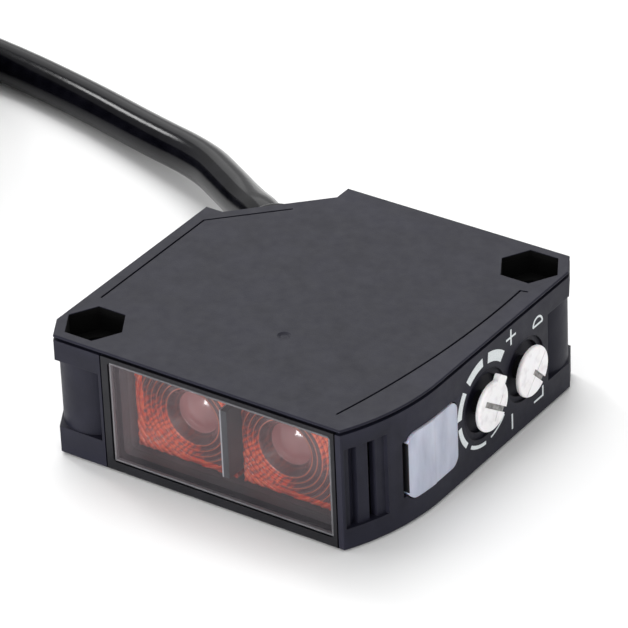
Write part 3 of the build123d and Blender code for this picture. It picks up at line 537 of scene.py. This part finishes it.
def baffle_material():
    """Dark upright wall with a painted highlight as a thin line along its front corner."""
    look = Look("baffle", (0.07, 0.07, 0.08), 0.5)
    low, _ = box_mm("light_baffle")
    # painted highlight along the front corner
    line = look.below(look.axes()[0], low[0] + BAFFLE_HIGHLIGHT)
    base = look.ramp(look.noise(2, 3), (0.035, 0.037, 0.045), (0.055, 0.058, 0.066))
    look.colour(look.mix(line, base, (0.4, 0.4, 0.43)))
    return look.surface(look.noise(0.3, 2), 0.01, 0.1)


# ---- the case ----
CASE_LOW, CASE_HIGH = (0.0065, 0.0065, 0.0135), (0.011, 0.011, 0.0205)
POCKET_AT, POCKET_R = 20.0, 4.4     # a nut pocket's place along X and Y, and its reach
POCKET_FLOOR, POCKET_TOP = 14.2, 17.7    # heights between which the pocket gets painted shade


def case_material():
    """Black moulded case: sand-textured, slightly worn, with painted shade down in the nut pockets."""
    look = Look("case", CASE_LOW, 0.5, Specular_IOR_Level=0.2)
    base = look.ramp(look.noise(4.5, 4), CASE_LOW, CASE_HIGH)
    speck = look.above(look.noise(0.3, 2), 0.7)
    base = look.mix(look.product(speck, 0.2), base, tuple(2.2 * c for c in CASE_HIGH))
    wear = look.add("ShaderNodeNewGeometry").outputs["Pointiness"]
    worn = look.math("MULTIPLY", look.minus(wear, 0.52), 3.0, clamp=True)
    base = look.mix(worn, base, tuple(1.8 * c for c in CASE_HIGH))
    x, y, z = look.axes()
    # painted shade: near black down in the nut pockets
    from_x = look.minus(look.math("ABSOLUTE", x), POCKET_AT)
    from_y = look.minus(look.math("ABSOLUTE", y), POCKET_AT)
    reach = look.total(look.product(from_x, from_x), look.product(from_y, from_y))
    pocket_shade = look.product(look.below(reach, POCKET_R**2), look.above(look.product(x, y), 0.0))
    pocket_shade = look.product(pocket_shade, look.below(z, POCKET_TOP))
    pocket_shade = look.product(pocket_shade, look.above(z, POCKET_FLOOR))
    look.colour(look.mix(pocket_shade, base, (0.0006, 0.0006, 0.0007)))
    rough = look.total(look.product(look.noise(1.4, 3), 0.2), 0.42)
    look.join(look.larger(rough, pocket_shade), look.shader.inputs["Roughness"])
    return look.surface(look.noise(0.2, 3), 0.014, 0.12)


def make_materials():
    """The material of each slot, apart from the lenses and the dials."""
    return {
        "case": case_material(),
        "bezel": moulded("bezel", (0.004, 0.004, 0.006), (0.008, 0.008, 0.011), (0.3, 0.42), 0.4, 0.006,
                         Specular_IOR_Level=0.25),
        "window": window_material(),
        "gasket": moulded("gasket", INK, (0.02, 0.02, 0.02), (0.7, 0.85)),
        "optics_frame": moulded("optics_frame", (0.035, 0.035, 0.04), (0.055, 0.055, 0.062), (0.4, 0.6)),
        "emitter": moulded("emitter", (0.5, 0.05, 0.03), (0.7, 0.08, 0.05), (0.1, 0.2)),
        "chip": moulded("chip", INK, (0.03, 0.03, 0.03), (0.5, 0.7)),
        "steel": metal("steel", (0.6, 0.6, 0.62), 0.25, (1, 1, 8)),
        "can": metal("can", (0.75, 0.75, 0.78), 0.2, (1, 1, 6)),
        "board": board_material(),
        "pins": metal("pins", (0.78, 0.72, 0.6), 0.2, (1, 1, 1)),
        "indicator": indicator_material(),
        "lamp_orange": moulded("lamp_orange", (0.9, 0.35, 0.05), (1.0, 0.45, 0.1), (0.15, 0.3)),
        "lamp_green": moulded("lamp_green", (0.1, 0.6, 0.15), (0.15, 0.7, 0.2), (0.15, 0.3)),
        "trimmer": moulded("trimmer", (0.04, 0.1, 0.35), (0.06, 0.13, 0.42), (0.25, 0.4)),
        "print": print_material(),
        "sheath": sheath_material(),
        "tie": moulded("tie", (0.02, 0.02, 0.02), (0.035, 0.035, 0.035), (0.3, 0.45)),
        "core_brown": moulded("core_brown", (0.17, 0.06, 0.025), (0.23, 0.085, 0.035), (0.3, 0.45)),
        "core_blue": moulded("core_blue", (0.03, 0.12, 0.5), (0.05, 0.17, 0.62), (0.3, 0.45)),
        "core_black": moulded("core_black", INK, (0.03, 0.03, 0.03), (0.3, 0.45)),
        "copper": metal("copper", (0.85, 0.6, 0.45), 0.25, (1, 1, 1)),
    }


def dress(node, material):
    """Give one CAD node its only material."""
    slots = NODES[node].data.materials
    slots.clear()
    slots.append(material)


def dress_cad(materials):
    """Give every CAD node the material of its slot in the record; the wall and the dials have their own."""
    for row in frame["record"]["subparts"]:
        if row["material_slot"] in materials:
            dress(row["node"], materials[row["material_slot"]])
    dress("light_baffle", baffle_material())
    for node, settings in DIALS.items():
        dress(node, dial_material(*settings))


# ---- the front window's rim ----
RIM_W, RIM_T = 0.26, 0.4
RIM_INSET, RIM_SUNK = 0.12, 0.02    # in from the window's outline, and back from its face


def make_window_rim(material):
    """The frosted edge of the window plate, seen as a pale line all round."""
    low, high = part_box("front_window")
    front = low[1] + RIM_SUNK * MM
    bm = bmesh.new()
    loops = []
    for inward, depth in ((0, 0), (RIM_W, 0), (RIM_W, RIM_T), (0, RIM_T)):
        inset = (RIM_INSET + inward) * MM
        corners = ((low[0] + inset, low[2] + inset), (high[0] - inset, low[2] + inset),
                   (high[0] - inset, high[2] - inset), (low[0] + inset, high[2] - inset))
        loops.append([bm.verts.new((x, front + depth * MM, z)) for x, z in corners])
    for a, b in zip(loops, loops[1:] + loops[:1]):
        for k in range(4):
            after = (k + 1) % 4
            bm.faces.new((a[k], a[after], b[after], b[k]))
    piece = mesh_piece("window_rim", bm, material, smooth=False)


# ---- the cable's bare end ----
CORE_R, CORE_GAP = 0.65, 1.4        # a core's radius, and the spacing of the three
CORE_FROM = COIL_START + 360 * STUB_STEPS / TURN_POINTS    # where the sheath ends, round the coil
CORE_TO, TIP_TO = CORE_FROM + 70, CORE_FROM + 82          # where the cores and their tips end
HIDDEN = 3.0                        # how far a core starts inside the sheath, in degrees
DROP_OVER = 22.0                    # degrees over which the cores come down on to the turns
BUNCHED, SPREAD = 0.75, 0.65        # share of the spacing at the sheath, and what is added lower down
CORE_POINTS = 9
STRANDS, STRAND_R, STRAND_AT = 6, 0.13, 0.27    # per core; their radius, and their place off its axis
STRAND_POINTS, STRAND_ROUND, STRAND_ALONG = 14, 2, 12
TIP_OVERLAP = 2.0                   # how far the strands start inside the core, in degrees


def core_path(index, start, stop, count):
    """Points of one core: out of the sheath's end, down on to the turns below, then along them."""
    points = []
    lying = COIL_LIFT + 2 * CABLE_D + CORE_R
    middle = COIL_LIFT + 2.5 * CABLE_D
    for k in range(count):
        angle = start + (stop - start) * k / (count - 1)
        drop = min(1.0, max(0.0, (angle - CORE_FROM) / DROP_OVER))
        drop = drop * drop * (3 - 2 * drop)
        radius = COIL_R - CABLE_D + CORE_GAP * (index - 1) * (BUNCHED + SPREAD * drop)
        turn = math.radians(angle)
        points.append((COIL_X + radius * math.cos(turn), COIL_Y + radius * math.sin(turn),
                       middle + (lying - middle) * drop))
    return points


def make_cores(materials):
    """The three coloured cores that come out of the sheath."""
    pieces = []
    for index, name in enumerate(("core_brown", "core_blue", "core_black")):
        path = core_path(index, CORE_FROM - HIDDEN, CORE_TO, CORE_POINTS)
        core = make_rod(f"{name}_wire", path, CORE_R, materials[name])
        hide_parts(name)
        pieces.append(core)
    return pieces


def make_tips(material):
    """Twisted tinned strands at the three bare ends, which run about square to the X = Y line."""
    data = round_curve("core_strands", STRAND_R, STRAND_ROUND)
    for index in range(3):
        middle = core_path(index, CORE_TO - TIP_OVERLAP, TIP_TO, STRAND_POINTS)
        for strand in range(STRANDS):
            points = []
            for k, (x, y, z) in enumerate(middle):
                turn = math.tau * (strand / STRANDS + k / STRAND_POINTS)
                side, rise = STRAND_AT * math.cos(turn), STRAND_AT * math.sin(turn)
                points.append((x + side, y + side, z + rise))
            add_spline(data, points, STRAND_ALONG)
    piece = add_piece("core_strands", data, material)
    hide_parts("core_tips")
    return piece


def make_cable(materials):
    """The whole cable: sheath and coil in one, the bare end, and the ties that hold the coil."""
    sheath = make_rod("cable_sheath", CABLE_ROUTE + coil_points(), CABLE_D / 2, materials["sheath"])
    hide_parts("cable", "cable_coil")
    pieces = make_cores(materials) + [make_tips(materials["copper"])]
    pieces += [NODES["cable_tie_1"], NODES["cable_tie_2"]]


# ---- stage ----
FLOOR_HALF, FLOOR_Z = 4.0, -0.0001
SKY = 0.78
# light: where it stands and its width in metres, and its power in watts
LIGHTS = {
    "key": ((-0.25, 0.25, 0.75), 0.5, 2.8),
    "back": ((-0.45, 0.65, 0.47), 0.6, 1.2),
    "strip": ((-0.62, 0.18, 0.47), 0.12, 1.0),
    "left": ((-0.7, -0.45, 0.3), 0.25, 0.45),
    "right": ((0.75, -0.3, 0.35), 0.3, 0.3),
    "front": ((-0.018, -0.45, 0.035), 0.13, 1.5),
}


def make_floor():
    """A plain pale floor just under the object."""
    bm = bmesh.new()
    corners = ((-1, -1), (1, -1), (1, 1), (-1, 1))
    bm.faces.new([bm.verts.new((x * FLOOR_HALF, y * FLOOR_HALF, FLOOR_Z)) for x, y in corners])
    data = bpy.data.meshes.new("floor")
    bm.to_mesh(data)
    bm.free()
    floor = bpy.data.objects.new("floor", data)
    bpy.context.collection.objects.link(floor)
    look = Look("floor", (0.9, 0.9, 0.9), 0.85)
    look.colour(look.ramp(look.noise(60, 2), (0.88, 0.88, 0.88), (0.92, 0.92, 0.92)))
    data.materials.append(look.material)


def make_light():
    """A bright even sky and square area lights that all look at the origin."""
    world = bpy.data.worlds.new("world")
    bpy.context.scene.world = world
    world.use_nodes = True
    sky = world.node_tree.nodes["Background"].inputs
    sky["Color"].default_value = (1, 1, 1, 1)
    sky["Strength"].default_value = SKY
    for name, (place, width, power) in LIGHTS.items():
        data = bpy.data.lights.new(name, "AREA")
        data.size, data.energy = width, power
        light = bpy.data.objects.new(name, data)
        light.location = place
        light.rotation_euler = (-Vector(place)).to_track_quat("-Z", "Y").to_euler()
        bpy.context.collection.objects.link(light)
    bpy.context.scene.view_settings.view_transform = "Standard"


def main():
    """Camera and cable first, then the looks, the lenses and the stage."""
    make_camera()
    materials = make_materials()
    make_cable(materials)
    dress_cad(materials)
    for node, settings in LENSES.items():
        make_lens(node, *settings)
    make_window_rim(moulded("window_edge", (0.1, 0.1, 0.11), (0.15, 0.15, 0.16), (0.3, 0.5)))
    make_floor()
    make_light()


main()
